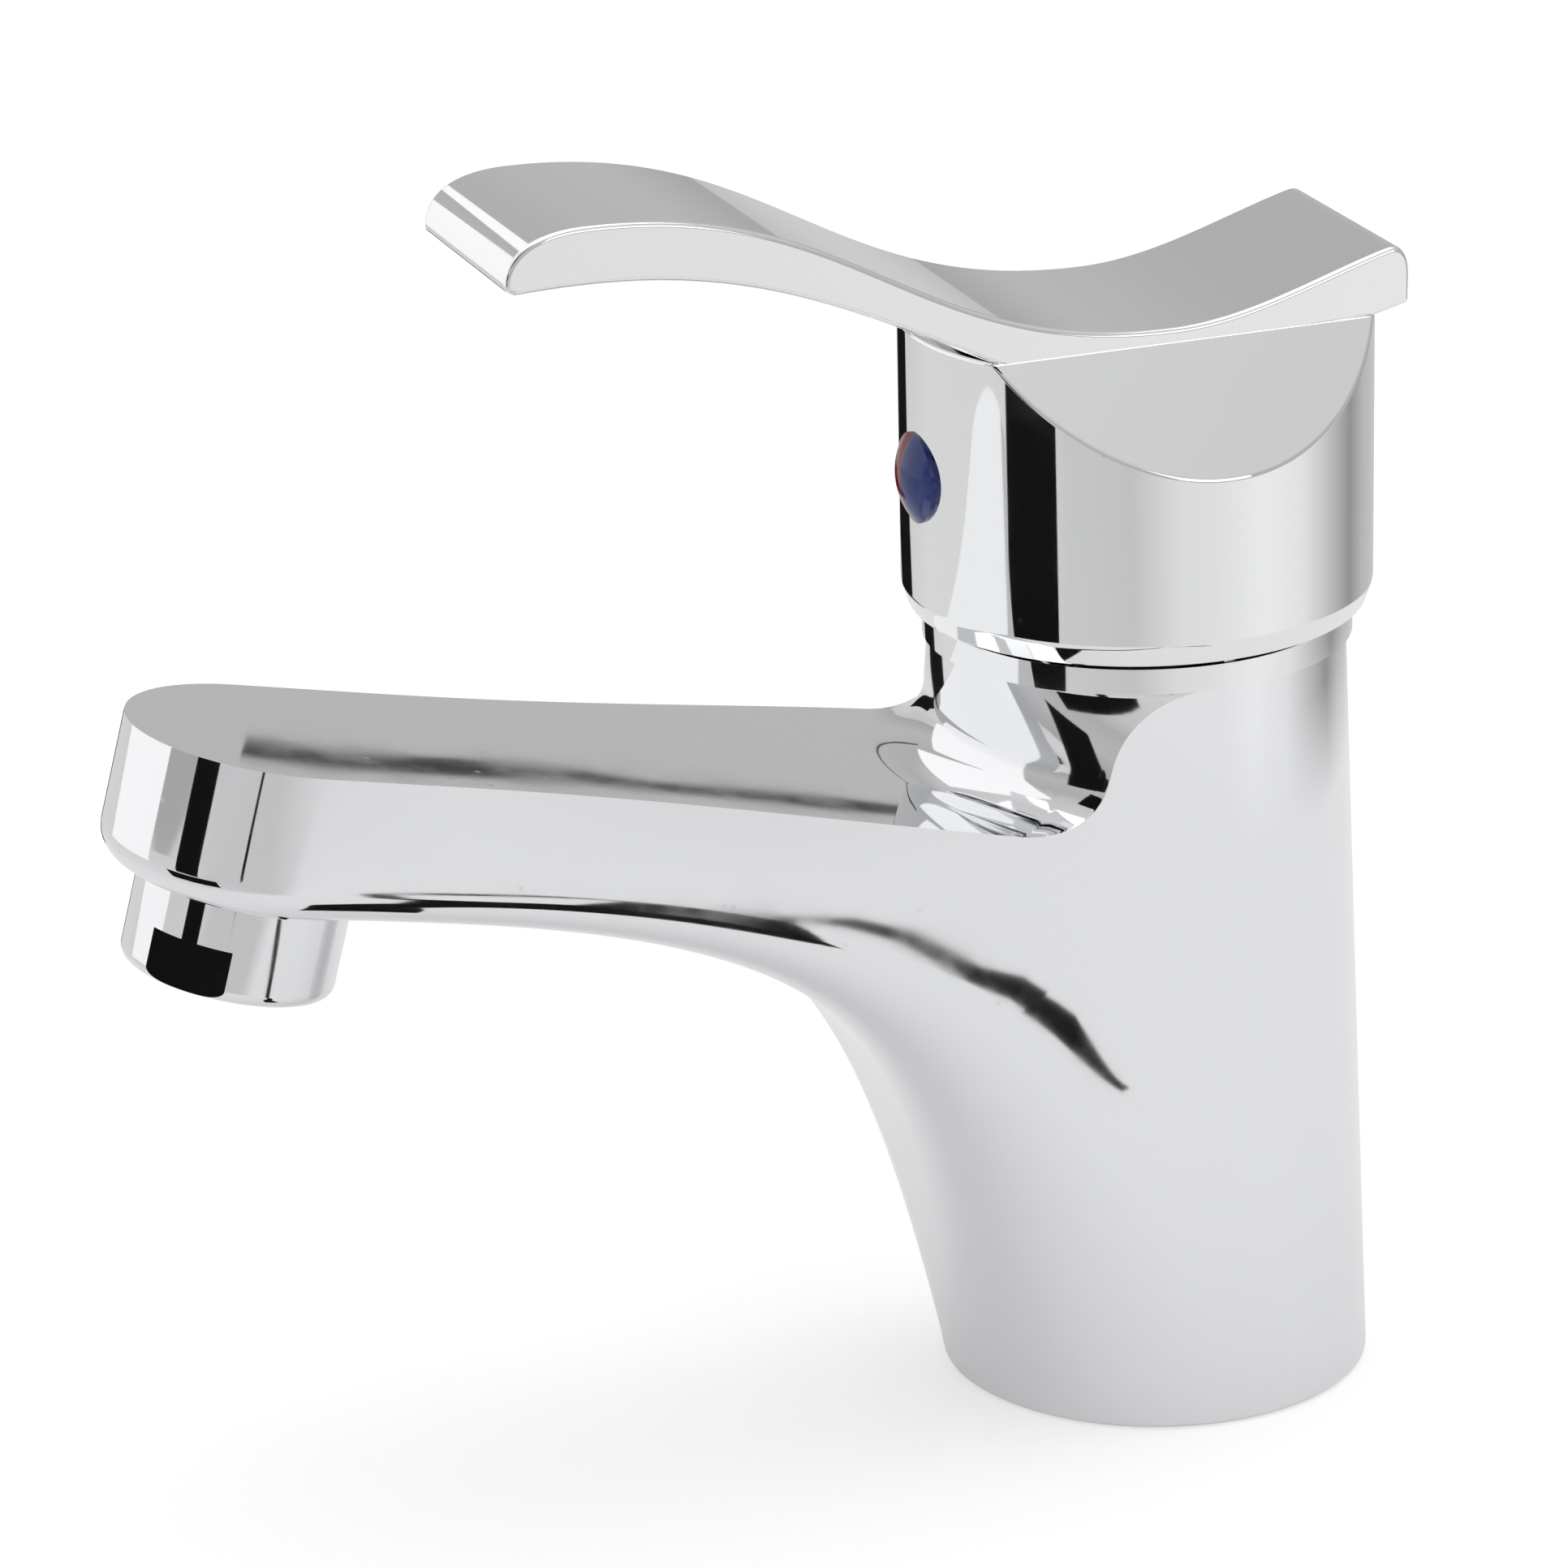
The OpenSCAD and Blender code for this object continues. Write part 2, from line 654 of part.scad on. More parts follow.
// perforated plate at a height in the aerator, holes on rings of six, twelve …
module sieve(r, h, hole, pitch, rings) {
    difference() {
        cylinder(r = r, h = h);
        for (k = [1:rings], i = [0:6 * k - 1])
            rotate(i * 60 / k) translate([k * pitch, 0, -1]) cylinder(r = hole, h = h + 2, $fn = 12);
        translate([0, 0, -1]) cylinder(r = hole, h = h + 2, $fn = 12);
    }
}

module outlet_grid() {
    color("lightgray") at_tip() translate([0, 0, -aerator_h + 2]) sieve(10.15, 3, 0.95, 2.6, 3);
}

module mixing_screen() {
    color("silver") at_tip() translate([0, 0, -aerator_h + 5]) ring(10.15, 9.2, 0.8);
    color("silver") at_tip() translate([0, 0, -aerator_h + 5.2]) for (turn = [0, 90]) rotate(turn)
        for (x = [-8:2:8]) translate([x - 0.2, -sqrt(86 - x * x), 0])
            cube([0.4, 2 * sqrt(86 - x * x), 0.3]);
}

module jet_insert() {
    color("white") at_tip() translate([0, 0, -aerator_h + 5.8]) {
        difference() {
            cylinder(r = 10.15, h = 12.4);
            translate([0, 0, -1]) cylinder(r = 8.6, h = 11);
            for (i = [0:11]) rotate(i * 30) translate([6, 0, 5]) cylinder(r = 0.9, h = 12, $fn = 12);
        }
    }
}

module aerator_washer() {
    color("dimgray") at_tip() translate([0, 0, 8.5]) ring(thread_r - 0.05, 10.2, 0.5);
}

body();
base_seal();
cartridge_base();
port_seal_hot();
port_seal_cold();
port_seal_outlet();
disc_gasket();
fixed_disc();
moving_disc();
disc_carrier();
cartridge_shell();
rotor();
glide_ring();
pivot_pin();
spindle();
clamp_nut();
trim_ring();
trim_seal();
handle();
spindle_bush();
set_screw();
mark_plug();
cold_mark();
hot_mark();
aerator_housing();
outlet_grid();
mixing_screen();
jet_insert();
aerator_washer();
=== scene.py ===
import bpy
import bmesh
from math import sin, cos, tan, radians, pi, sqrt, hypot
from mathutils import Vector, Matrix


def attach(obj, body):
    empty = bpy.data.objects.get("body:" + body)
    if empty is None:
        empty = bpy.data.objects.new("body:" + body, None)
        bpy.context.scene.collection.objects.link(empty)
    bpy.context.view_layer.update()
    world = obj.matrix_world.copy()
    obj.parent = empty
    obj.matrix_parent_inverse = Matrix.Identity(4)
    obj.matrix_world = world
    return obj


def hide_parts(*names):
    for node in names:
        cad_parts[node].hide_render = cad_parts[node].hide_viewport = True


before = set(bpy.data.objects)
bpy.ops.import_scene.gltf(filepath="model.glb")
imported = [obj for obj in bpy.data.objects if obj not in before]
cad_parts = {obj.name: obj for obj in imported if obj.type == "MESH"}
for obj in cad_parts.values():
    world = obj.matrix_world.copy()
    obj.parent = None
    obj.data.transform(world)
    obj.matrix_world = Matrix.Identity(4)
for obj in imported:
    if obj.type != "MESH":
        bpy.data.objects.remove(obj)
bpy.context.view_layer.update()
mm = 0.001


def ease(u):
    c = min(1.0, max(0.0, u))
    return c * c * (3 - 2 * c)


def cubic(a, b, c, d, t):
    return [(1 - t) ** 3 * a[i] + 3 * (1 - t) ** 2 * t * b[i] + 3 * (1 - t) * t * t * c[i] + t ** 3 * d[i]
            for i in range(len(a))]


def bendGrid(bm, across, along, place):
    # a flat grid whose points are carried to place(column, row), in millimetres
    made = bmesh.ops.create_grid(bm, x_segments=across, y_segments=along, size=1)
    for v in made["verts"]:
        column = round((v.co.x + 1) / 2 * across)
        row = round((v.co.y + 1) / 2 * along)
        v.co = Vector(place(column, row)) * mm


def bendLoop(bm, points):
    # a capped circle whose points are carried to the outline, in millimetres
    made = bmesh.ops.create_circle(bm, segments=len(points), radius=1, cap_ends=True)
    for v, p in zip(made["verts"], points):
        v.co = Vector(p) * mm
    return made["verts"]


def revolve(bm, profile, centre, axis=(0, 0, 1), steps=160):
    # profile of (radius, height) pairs round an axis through centre
    turn = Vector((0, 0, 1)).rotation_difference(Vector(axis)).to_matrix()
    chain = [bm.verts.new(Vector(centre) * mm + turn @ Vector((r * mm, 0, z * mm))) for r, z in profile]
    edges = [bm.edges.new(pair) for pair in zip(chain, chain[1:])]
    bmesh.ops.spin(bm, geom=chain + edges, cent=Vector(centre) * mm, axis=turn @ Vector((0, 0, 1)),
                   angle=2 * pi, steps=steps, use_merge=True)


def tidy(bm, gap=0.002):
    bmesh.ops.remove_doubles(bm, verts=bm.verts, dist=gap * mm)
    bmesh.ops.dissolve_degenerate(bm, edges=bm.edges, dist=gap * mm / 4)
    bmesh.ops.recalc_face_normals(bm, faces=bm.faces)


def softenEdges(bm, edges, width, segments=3):
    bmesh.ops.bevel(bm, geom=edges, offset=width * mm, offset_type="OFFSET", affect="EDGES",
                    segments=segments, profile=0.5, material=-1, clamp_overlap=True)


def sharpEdges(bm, angle, keep=lambda e: True):
    return [e for e in bm.edges
            if len(e.link_faces) == 2 and e.calc_face_angle(0) > radians(angle) and keep(e)]


def finishPiece(bm, name, body, material, replaces, sharp=30):
    mesh = bpy.data.meshes.new(name)
    bm.to_mesh(mesh)
    bm.free()
    for p in mesh.polygons:
        p.use_smooth = True
    mesh.set_sharp_from_angle(angle=radians(sharp))
    piece = bpy.data.objects.new(name, mesh)
    bpy.context.scene.collection.objects.link(piece)
    # large faces keep their own direction, and only the rounds between them are shaded round
    weigh = piece.modifiers.new("weigh", "WEIGHTED_NORMAL")
    weigh.keep_sharp = True
    weigh.weight = 50
    piece.data = bpy.data.meshes.new_from_object(piece.evaluated_get(bpy.context.evaluated_depsgraph_get()))
    piece.modifiers.clear()
    bpy.data.meshes.remove(mesh)
    mesh = piece.data
    mesh.name = name
    mesh.materials.append(material)
    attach(piece, body)
    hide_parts(*replaces)
    print("made", name, len(mesh.polygons), "faces")
    return piece


def newGroup(name, inputs, outputs):
    group = bpy.data.node_groups.new(name, "ShaderNodeTree")
    for label, kind, value in inputs:
        socket = group.interface.new_socket(name=label, in_out="INPUT", socket_type=kind)
        if value is not None:
            socket.default_value = value
    for label, kind in outputs:
        group.interface.new_socket(name=label, in_out="OUTPUT", socket_type=kind)
    return group, group.nodes.new("NodeGroupInput"), group.nodes.new("NodeGroupOutput")


def handling():
    # wiped-on haze, a few dried drops and the slow waviness of a polished casting
    group, given, result = newGroup(
        "handling",
        [("Haze Size", "NodeSocketFloat", 60.0), ("Clean", "NodeSocketFloat", 0.03),
         ("Hazy", "NodeSocketFloat", 0.09), ("Wave Size", "NodeSocketFloat", 28.0)],
        [("Roughness", "NodeSocketFloat"), ("Height", "NodeSocketFloat")])
    nodes, links = group.nodes, group.links
    place = nodes.new("ShaderNodeTexCoord")
    haze = nodes.new("ShaderNodeTexNoise")
    haze.inputs["Detail"].default_value = 5
    haze.inputs["Roughness"].default_value = 0.62
    links.new(place.outputs["Object"], haze.inputs["Vector"])
    links.new(given.outputs["Haze Size"], haze.inputs["Scale"])
    spots = nodes.new("ShaderNodeTexVoronoi")
    spots.inputs["Scale"].default_value = 210
    links.new(place.outputs["Object"], spots.inputs["Vector"])
    spotEdge = nodes.new("ShaderNodeMapRange")
    spotEdge.inputs["From Min"].default_value = 0.05
    spotEdge.inputs["From Max"].default_value = 0.11
    spotEdge.inputs["To Min"].default_value = 0.05
    spotEdge.inputs["To Max"].default_value = 0.0
    links.new(spots.outputs["Distance"], spotEdge.inputs["Value"])
    spread = nodes.new("ShaderNodeMapRange")
    spread.inputs["From Min"].default_value = 0.42
    spread.inputs["From Max"].default_value = 0.72
    links.new(haze.outputs["Fac"], spread.inputs["Value"])
    links.new(given.outputs["Clean"], spread.inputs["To Min"])
    links.new(given.outputs["Hazy"], spread.inputs["To Max"])
    both = nodes.new("ShaderNodeMath")
    both.operation = "ADD"
    links.new(spread.outputs["Result"], both.inputs[0])
    links.new(spotEdge.outputs["Result"], both.inputs[1])
    wave = nodes.new("ShaderNodeTexNoise")
    wave.inputs["Detail"].default_value = 1
    links.new(place.outputs["Object"], wave.inputs["Vector"])
    links.new(given.outputs["Wave Size"], wave.inputs["Scale"])
    links.new(both.outputs[0], result.inputs["Roughness"])
    links.new(wave.outputs["Fac"], result.inputs["Height"])
    return group


def grained():
    # fine speckle for moulded, sintered and turned surfaces: a colour, a roughness and a height
    group, given, result = newGroup(
        "grained",
        [("Light", "NodeSocketColor", (0.8, 0.8, 0.8, 1)), ("Dark", "NodeSocketColor", (0.6, 0.6, 0.6, 1)),
         ("Grain Size", "NodeSocketFloat", 900.0), ("Smooth", "NodeSocketFloat", 0.35),
         ("Rough", "NodeSocketFloat", 0.55), ("Stretch", "NodeSocketVector", (1, 1, 1))],
        [("Color", "NodeSocketColor"), ("Roughness", "NodeSocketFloat"), ("Height", "NodeSocketFloat")])
    nodes, links = group.nodes, group.links
    place = nodes.new("ShaderNodeTexCoord")
    stretch = nodes.new("ShaderNodeVectorMath")
    stretch.operation = "MULTIPLY"
    links.new(place.outputs["Object"], stretch.inputs[0])
    links.new(given.outputs["Stretch"], stretch.inputs[1])
    grain = nodes.new("ShaderNodeTexNoise")
    grain.inputs["Detail"].default_value = 4
    links.new(stretch.outputs[0], grain.inputs["Vector"])
    links.new(given.outputs["Grain Size"], grain.inputs["Scale"])
    mix = nodes.new("ShaderNodeMix")
    mix.data_type = "RGBA"
    links.new(grain.outputs["Fac"], mix.inputs["Factor"])
    links.new(given.outputs["Dark"], mix.inputs["A"])
    links.new(given.outputs["Light"], mix.inputs["B"])
    spread = nodes.new("ShaderNodeMapRange")
    spread.inputs["From Min"].default_value = 0.3
    spread.inputs["From Max"].default_value = 0.7
    links.new(grain.outputs["Fac"], spread.inputs["Value"])
    links.new(given.outputs["Smooth"], spread.inputs["To Min"])
    links.new(given.outputs["Rough"], spread.inputs["To Max"])
    links.new(mix.outputs["Result"], result.inputs["Color"])
    links.new(spread.outputs["Result"], result.inputs["Roughness"])
    links.new(grain.outputs["Fac"], result.inputs["Height"])
    return group


handlingGroup = handling()
grainedGroup = grained()


def startMaterial(name):
    material = bpy.data.materials.new(name)
    material.use_nodes = True
    nodes = material.node_tree.nodes
    return material, nodes, material.node_tree.links, nodes["Principled BSDF"]


def addBump(nodes, links, height, shader, strength, depth):
    bump = nodes.new("ShaderNodeBump")
    bump.inputs["Strength"].default_value = strength
    bump.inputs["Distance"].default_value = depth
    links.new(height, bump.inputs["Height"])
    links.new(bump.outputs["Normal"], shader.inputs["Normal"])


def chromeMaterial(name, colour, clean, hazy, waveSize, waviness):
    material, nodes, links, shader = startMaterial(name)
    wear = nodes.new("ShaderNodeGroup")
    wear.node_tree = handlingGroup
    wear.inputs["Clean"].default_value = clean
    wear.inputs["Hazy"].default_value = hazy
    wear.inputs["Wave Size"].default_value = waveSize
    shader.inputs["Metallic"].default_value = 1
    shader.inputs["Base Color"].default_value = (*colour, 1)
    links.new(wear.outputs["Roughness"], shader.inputs["Roughness"])
    addBump(nodes, links, wear.outputs["Height"], shader, waviness, 0.0004)
    return material


def grainMaterial(name, light, dark, size, smooth, rough, bump=0.15, metallic=0.0, stretch=(1, 1, 1)):
    material, nodes, links, shader = startMaterial(name)
    grain = nodes.new("ShaderNodeGroup")
    grain.node_tree = grainedGroup
    for label, value in (("Light", (*light, 1)), ("Dark", (*dark, 1)), ("Grain Size", size),
                         ("Smooth", smooth), ("Rough", rough), ("Stretch", stretch)):
        grain.inputs[label].default_value = value
    shader.inputs["Metallic"].default_value = metallic
    links.new(grain.outputs["Color"], shader.inputs["Base Color"])
    links.new(grain.outputs["Roughness"], shader.inputs["Roughness"])
    addBump(nodes, links, grain.outputs["Height"], shader, bump, 0.00005)
    return material


def splitMaterial(name, coldSide, hotSide, rough):
    # two colours that meet on the plane between the cold and the hot side
    material, nodes, links, shader = startMaterial(name)
    where = nodes.new("ShaderNodeTexCoord")
    across = nodes.new("ShaderNodeSeparateXYZ")
    cold = nodes.new("ShaderNodeMath")
    cold.operation = "GREATER_THAN"
    cold.inputs[1].default_value = 0
    both = nodes.new("ShaderNodeMix")
    both.data_type = "RGBA"
    both.inputs["A"].default_value = (*hotSide, 1)
    both.inputs["B"].default_value = (*coldSide, 1)
    links.new(where.outputs["Object"], across.inputs[0])
    links.new(across.outputs["X"], cold.inputs[0])
    links.new(cold.outputs[0], both.inputs["Factor"])
    links.new(both.outputs["Result"], shader.inputs["Base Color"])
    shader.inputs["Roughness"].default_value = rough
    return material


chromes = {  # colour, roughness where clean and where hazy, size and strength of the waviness
    "bodyChrome": ((0.86, 0.865, 0.875), 0.035, 0.075, 26, 0.012),
    "leverChrome": ((0.87, 0.875, 0.88), 0.025, 0.06, 34, 0.012),
    "ringChrome": ((0.86, 0.865, 0.87), 0.03, 0.06, 40, 0.02),
    "aeratorChrome": ((0.84, 0.845, 0.855), 0.04, 0.09, 60, 0.03),
}
grains = {  # light and dark colour, grain size, roughness from and to, bump
    "blueEnamel": ((0.006, 0.036, 0.27), (0.004, 0.022, 0.19), 700, 0.1, 0.18, 0.03),
    "redEnamel": ((0.36, 0.03, 0.03), (0.26, 0.016, 0.018), 700, 0.1, 0.18, 0.03),
    "whitePlastic": ((0.84, 0.83, 0.79), (0.77, 0.76, 0.72), 800, 0.4, 0.55),
    "greyPlastic": ((0.36, 0.37, 0.39), (0.29, 0.3, 0.32), 900, 0.38, 0.52),
    "blackRubber": ((0.035, 0.035, 0.037), (0.02, 0.02, 0.022), 1200, 0.55, 0.8, 0.3),
    "lappedCeramic": ((0.93, 0.92, 0.89), (0.88, 0.87, 0.84), 1600, 0.16, 0.26, 0.03),
    "turnedBrass": ((0.76, 0.57, 0.26), (0.66, 0.47, 0.19), 500, 0.24, 0.4, 0.2, 1.0, (1, 1, 9)),
    "plainSteel": ((0.6, 0.6, 0.6), (0.48, 0.48, 0.49), 700, 0.26, 0.42, 0.15, 1.0, (1, 1, 6)),
}
plugColours = {"cold": (0.004, 0.024, 0.18), "hot": (0.3, 0.02, 0.022), "roughness": 0.16}
finishes = {name: chromeMaterial(name, *values) for name, values in chromes.items()}
finishes.update({name: grainMaterial(name, *values) for name, values in grains.items()})
finishes["plugPlastic"] = splitMaterial("plugPlastic", *plugColours.values())
print("finishes made")


bodySizes = {
    "footRadius": 26.9, "neckRadius": 25.7, "neckHeight": 96.8, "axisShift": 2.0,
    "reach": 112.5, "tipRadius": 18.3, "tipLean": 15.0, "tipDepth": 18.5, "lowerEdge": 4.0,
    "topRise": 11.8, "topAtAxis": 75.5,  # slope of the spout's top face and its height at the axis
    "spreadFrom": 13.5, "spreadLength": 83.0, "spreadPower": 1.3,  # side walls, from the aerator inwards
    "archFrom": -108.0, "archDrop": 1.6, "archPulls": ((-45.7, 67.9), (-37.2, 57.9)),
    "sectionLean": 11.5, "edgePower": 1.7,  # where the arch's sections meet, and how its edge grows round
    "coveRadius": 8.0, "neckBow": 12.0, "bowPower": 2.6, "edgeSoftness": 0.55, "footSoftness": 0.7,
    "recessRadius": 21.5, "recessDepth": 14.0, "inletRadius": 4.5, "inletGap": 20.0, "inletY": 2.0,
    "inletDepth": 13.0, "studRadius": 3.4, "studY": 12.0, "studDepth": 21.0,
    "nutRadius": 20.5, "nutFloor": 88.0, "chamberRadius": 17.7, "chamberFloor": 66.0,
}
archSteps, endSteps, cornerSteps, wallSteps, backSteps = 64, 18, 14, 12, 120
neckRows, flankRows, frontColumns, sideColumns = 36, 8, 56, 40
halvings, settlings = 50, 8  # rounds of each search


def firstZero(low, high, value):
    # where a rising value passes zero
    for _ in range(halvings):
        middle = (low + high) / 2
        if value(middle) > 0:
            high = middle
        else:
            low = middle
    return (low + high) / 2


def bothSides(bm, rows):
    for side in (1, -1):
        bendGrid(bm, len(rows) - 1, len(rows[0]) - 1,
                 lambda i, k, side=side: (side * rows[i][k][0], rows[i][k][1], rows[i][k][2]))


def buildBody(s):
    slope = tan(radians(s["topRise"]))
    lean = radians(s["tipLean"])
    footY = -s["reach"] - s["tipDepth"] * sin(lean)

    def top(y):
        return s["topAtAxis"] - y * slope

    footZ = top(-s["reach"]) - s["tipDepth"] * cos(lean)

    def radius(z):
        return s["footRadius"] + (s["neckRadius"] - s["footRadius"]) * z / s["neckHeight"]

    def centre(z):
        return -s["axisShift"] * z / s["neckHeight"]

    def wall(y, z):
        spread = ease((y + s["reach"] - s["spreadFrom"]) / s["spreadLength"]) ** s["spreadPower"]
        return s["tipRadius"] + (radius(z) - s["tipRadius"]) * spread

    archStart = (s["archFrom"], footZ - s["archDrop"])
    fanY = archStart[0] - archStart[1] * tan(radians(s["sectionLean"]))

    def arch(t):
        return cubic(archStart, *s["archPulls"], (-s["footRadius"], 0), t)

    def fan(p):
        d = Vector((p[0] - fanY, p[1]))
        return d.normalized() if p[1] > 1e-6 else Vector((1, 0))

    def reachOut(p, d):
        # how far a section goes before it meets the top face or the plane of the axis
        up = (top(p[0]) - p[1]) / (d[1] + slope * d[0])
        back = (centre(p[1]) - p[0]) / (d[0] + d[1] * s["axisShift"] / s["neckHeight"])
        return min(w for w in (up, back) if w > 0)

    def archThrough(y, z):
        # place on the arch whose section passes through a point
        def past(t):
            p = arch(t)
            return z * (p[0] - fanY) - p[1] * (y - fanY)

        return firstZero(0.0, 1.0, past)

    cornerZ = s["topAtAxis"] / (1 - s["axisShift"] * slope / s["neckHeight"])
    rim = s["neckHeight"]

    def onNeck(angle, u):
        # neck and cove ahead of the axis: angle from straight ahead, share of the way down from the rim
        a = radians(angle)
        room = rim - top(centre(rim) - radius(rim) * cos(a))
        r = min(s["coveRadius"], room * 0.95)
        straight = room - r
        path = straight + r * pi / 2
        if u * path < straight:
            h, out = room - u * path, 0.0
        else:
            phi = pi / 2 - (u * path - straight) / r
            h, out = r * (1 - cos(phi)), r * (1 - sin(phi))
        bow = s["neckBow"] * (1 - (h / room) ** s["bowPower"])
        z = top(-s["footRadius"]) + h  # a first guess
        for _ in range(settlings):
            y = centre(z) + bow - (radius(z) + out + bow) * cos(a)
            z = top(y) + h
        return (radius(z) + out + bow) * sin(a), y, z

    def beyondWall(angle, u):
        x, y, z = onNeck(angle, u)
        return x - wall(y, z)

    # beyond this angle the neck runs into the spout's side before it reaches the top face
    turnAngle = firstZero(20, 80, lambda angle: beyondWall(angle, 1))

    def coveLine(angle):
        end = 1.0
        if angle > turnAngle:
            end = firstZero(0, 1, lambda u: beyondWall(angle, u))
        line = [onNeck(angle, end * k / neckRows) for k in range(neckRows + 1)]
        x, y, z = line[-1]
        low = top(y)
        line += [(wall(y, h), y, h) if angle > turnAngle else (x, y, low)
                 for h in (z + (low - z) * k / flankRows for k in range(1, flankRows + 1))]
        return line

    angles = [turnAngle * k / frontColumns for k in range(frontColumns + 1)]
    angles += [turnAngle + (90 - turnAngle) * k / sideColumns for k in range(1, sideColumns)]
    lines = [coveLine(angle) for angle in angles]
    # straight beside the axis the neck is the column itself
    allRows = neckRows + flankRows
    sideHeights = [rim + (cornerZ - rim) * k / allRows for k in range(allRows + 1)]
    lines.append([(radius(z), centre(z), z) for z in sideHeights])

    # sections of the arch, with one through the flank's foot and one through the corner
    ts = sorted([k / archSteps for k in range(archSteps + 1)] + [archThrough(centre(cornerZ), cornerZ)])

    def halfSection(p, d, reachLength, corner):
        r = min(corner, reachLength)
        points = []
        for k in range(cornerSteps + 1):
            a = pi / 2 * k / cornerSteps
            y, z = p[0] + r * (1 - cos(a)) * d[0], p[1] + r * (1 - cos(a)) * d[1]
            w = wall(y, z)
            side = min(r, w)
            points.append((w - side + side * sin(a), y, z))
        for k in range(1, wallSteps + 1):
            q = r + (reachLength - r) * k / wallSteps
            y, z = p[0] + q * d[0], p[1] + q * d[1]
            points.append((wall(y, z), y, z))
        return points

    def halfEnd(ahead):
        p = (footY - ahead * cos(lean), footZ + ahead * sin(lean))
        d = Vector((sin(lean), cos(lean)))
        far = reachOut(p, d)
        e = s["lowerEdge"]
        over = max(0, ahead - s["tipRadius"] + e)
        low = e - sqrt(max(0, e * e - over * over))
        points = []
        for k in range(cornerSteps + 1):
            h = low + (e - low) * (1 - cos(pi / 2 * k / cornerSteps))
            r = s["tipRadius"] - e + sqrt(max(0, e * e - (e - h) ** 2))
            points.append((sqrt(max(0, r * r - ahead * ahead)), p[0] + h * d[0], p[1] + h * d[1]))
        for k in range(1, wallSteps + 1):
            h = e + (far - e) * k / wallSteps
            half = sqrt(max(0, s["tipRadius"] ** 2 - ahead * ahead))
            points.append((half, p[0] + h * d[0], p[1] + h * d[1]))
        return points

    halves = [halfEnd(s["tipRadius"] * sin(pi / 2 * (1 - k / endSteps))) for k in range(endSteps + 1)]
    ahead = (0.25, 0.5, 0.75)
    for t in ts:
        p = arch(t)
        if t == 0:
            for f in ahead:  # between the aerator's middle and the start of the arch
                q = (footY + (p[0] - footY) * f, footZ + (p[1] - footZ) * f)
                d = Vector((sin(lean), cos(lean))).lerp(fan(p), f).normalized()
                halves.append(halfSection(q, d, reachOut(q, d), s["lowerEdge"]))
        d = fan(p)
        grow = s["lowerEdge"] + (s["footRadius"] - s["lowerEdge"]) * t ** s["edgePower"]
        halves.append(halfSection(p, d, reachOut(p, d), grow))

    bm = bmesh.new()
    bothSides(bm, halves)
    # flat of the arch between the two lower corners
    bendGrid(bm, len(halves) - 1, 1,
             lambda i, k: ((1, -1)[k] * halves[i][0][0], halves[i][0][1], halves[i][0][2]))
    bothSides(bm, lines)
    # back half of the column
    backHeights = sideHeights + [h[-1][2] for h in halves
                                 if abs(h[-1][1] - centre(h[-1][2])) < 1e-4 and h[-1][2] < cornerZ - 1e-4]
    backHeights = sorted(set(round(z, 6) for z in backHeights), reverse=True)

    def onBack(i, k):
        z = backHeights[k]
        return (radius(z) * cos(pi * i / backSteps), centre(z) + radius(z) * sin(pi * i / backSteps), z)

    bendGrid(bm, backSteps, len(backHeights) - 1, onBack)
    # top face: out along one side, round the end, back along the other and past the cove
    contact = [line[neckRows] for line in lines[:frontColumns + 1]]
    right = [tuple(h[-1]) for h in halves
             if abs(h[-1][2] - top(h[-1][1])) < 1e-3 and h[-1][1] < contact[-1][1] - 0.2]
    outline = [(-x, y, z) for x, y, z in reversed(right[1:])] + right
    outline += [(p[0], p[1], top(p[1])) for p in reversed(contact)]
    outline += [(-p[0], p[1], top(p[1])) for p in contact[1:]]
    bendLoop(bm, outline)
    tidy(bm, 0.004)

    # the foot: rim, recess, inlets and stud hole
    def openEdges(test):
        return [e for e in bm.edges if len(e.link_faces) == 1 and all(test(v.co / mm) for v in e.verts)]

    def stepTo(edges, r, z, middle=(0, 0)):
        made = bmesh.ops.extrude_edge_only(bm, edges=edges)["geom"]
        for v in [g for g in made if isinstance(g, bmesh.types.BMVert)]:
            flat = Vector((v.co.x / mm - middle[0], v.co.y / mm - middle[1])).normalized() * r
            v.co = Vector((flat.x + middle[0], flat.y + middle[1], z)) * mm
        return [g for g in made if isinstance(g, bmesh.types.BMEdge) and len(g.link_faces) == 1]

    footEdges = openEdges(lambda c: abs(c.z) < 0.01)
    ring = stepTo(footEdges, s["recessRadius"], 0)
    ring = stepTo(ring, s["recessRadius"], s["recessDepth"])
    holes = [((-s["inletGap"] / 2, s["inletY"]), s["inletRadius"], s["inletDepth"]),
             ((s["inletGap"] / 2, s["inletY"]), s["inletRadius"], s["inletDepth"]),
             ((0, s["studY"]), s["studRadius"], s["studDepth"])]
    loops = []
    for middle, r, depth in holes:
        made = bmesh.ops.create_circle(bm, segments=40, radius=r * mm, matrix=Matrix.Translation(
            Vector((middle[0], middle[1], s["recessDepth"])) * mm))
        loops.append(list(dict.fromkeys(e for v in made["verts"] for e in v.link_edges)))
    bmesh.ops.triangle_fill(bm, use_beauty=True, edges=ring + [e for loop in loops for e in loop])
    for (middle, r, depth), loop in zip(holes, loops):
        deep = stepTo(loop, r, s["recessDepth"] + depth, middle)
        bmesh.ops.contextual_create(bm, geom=deep)
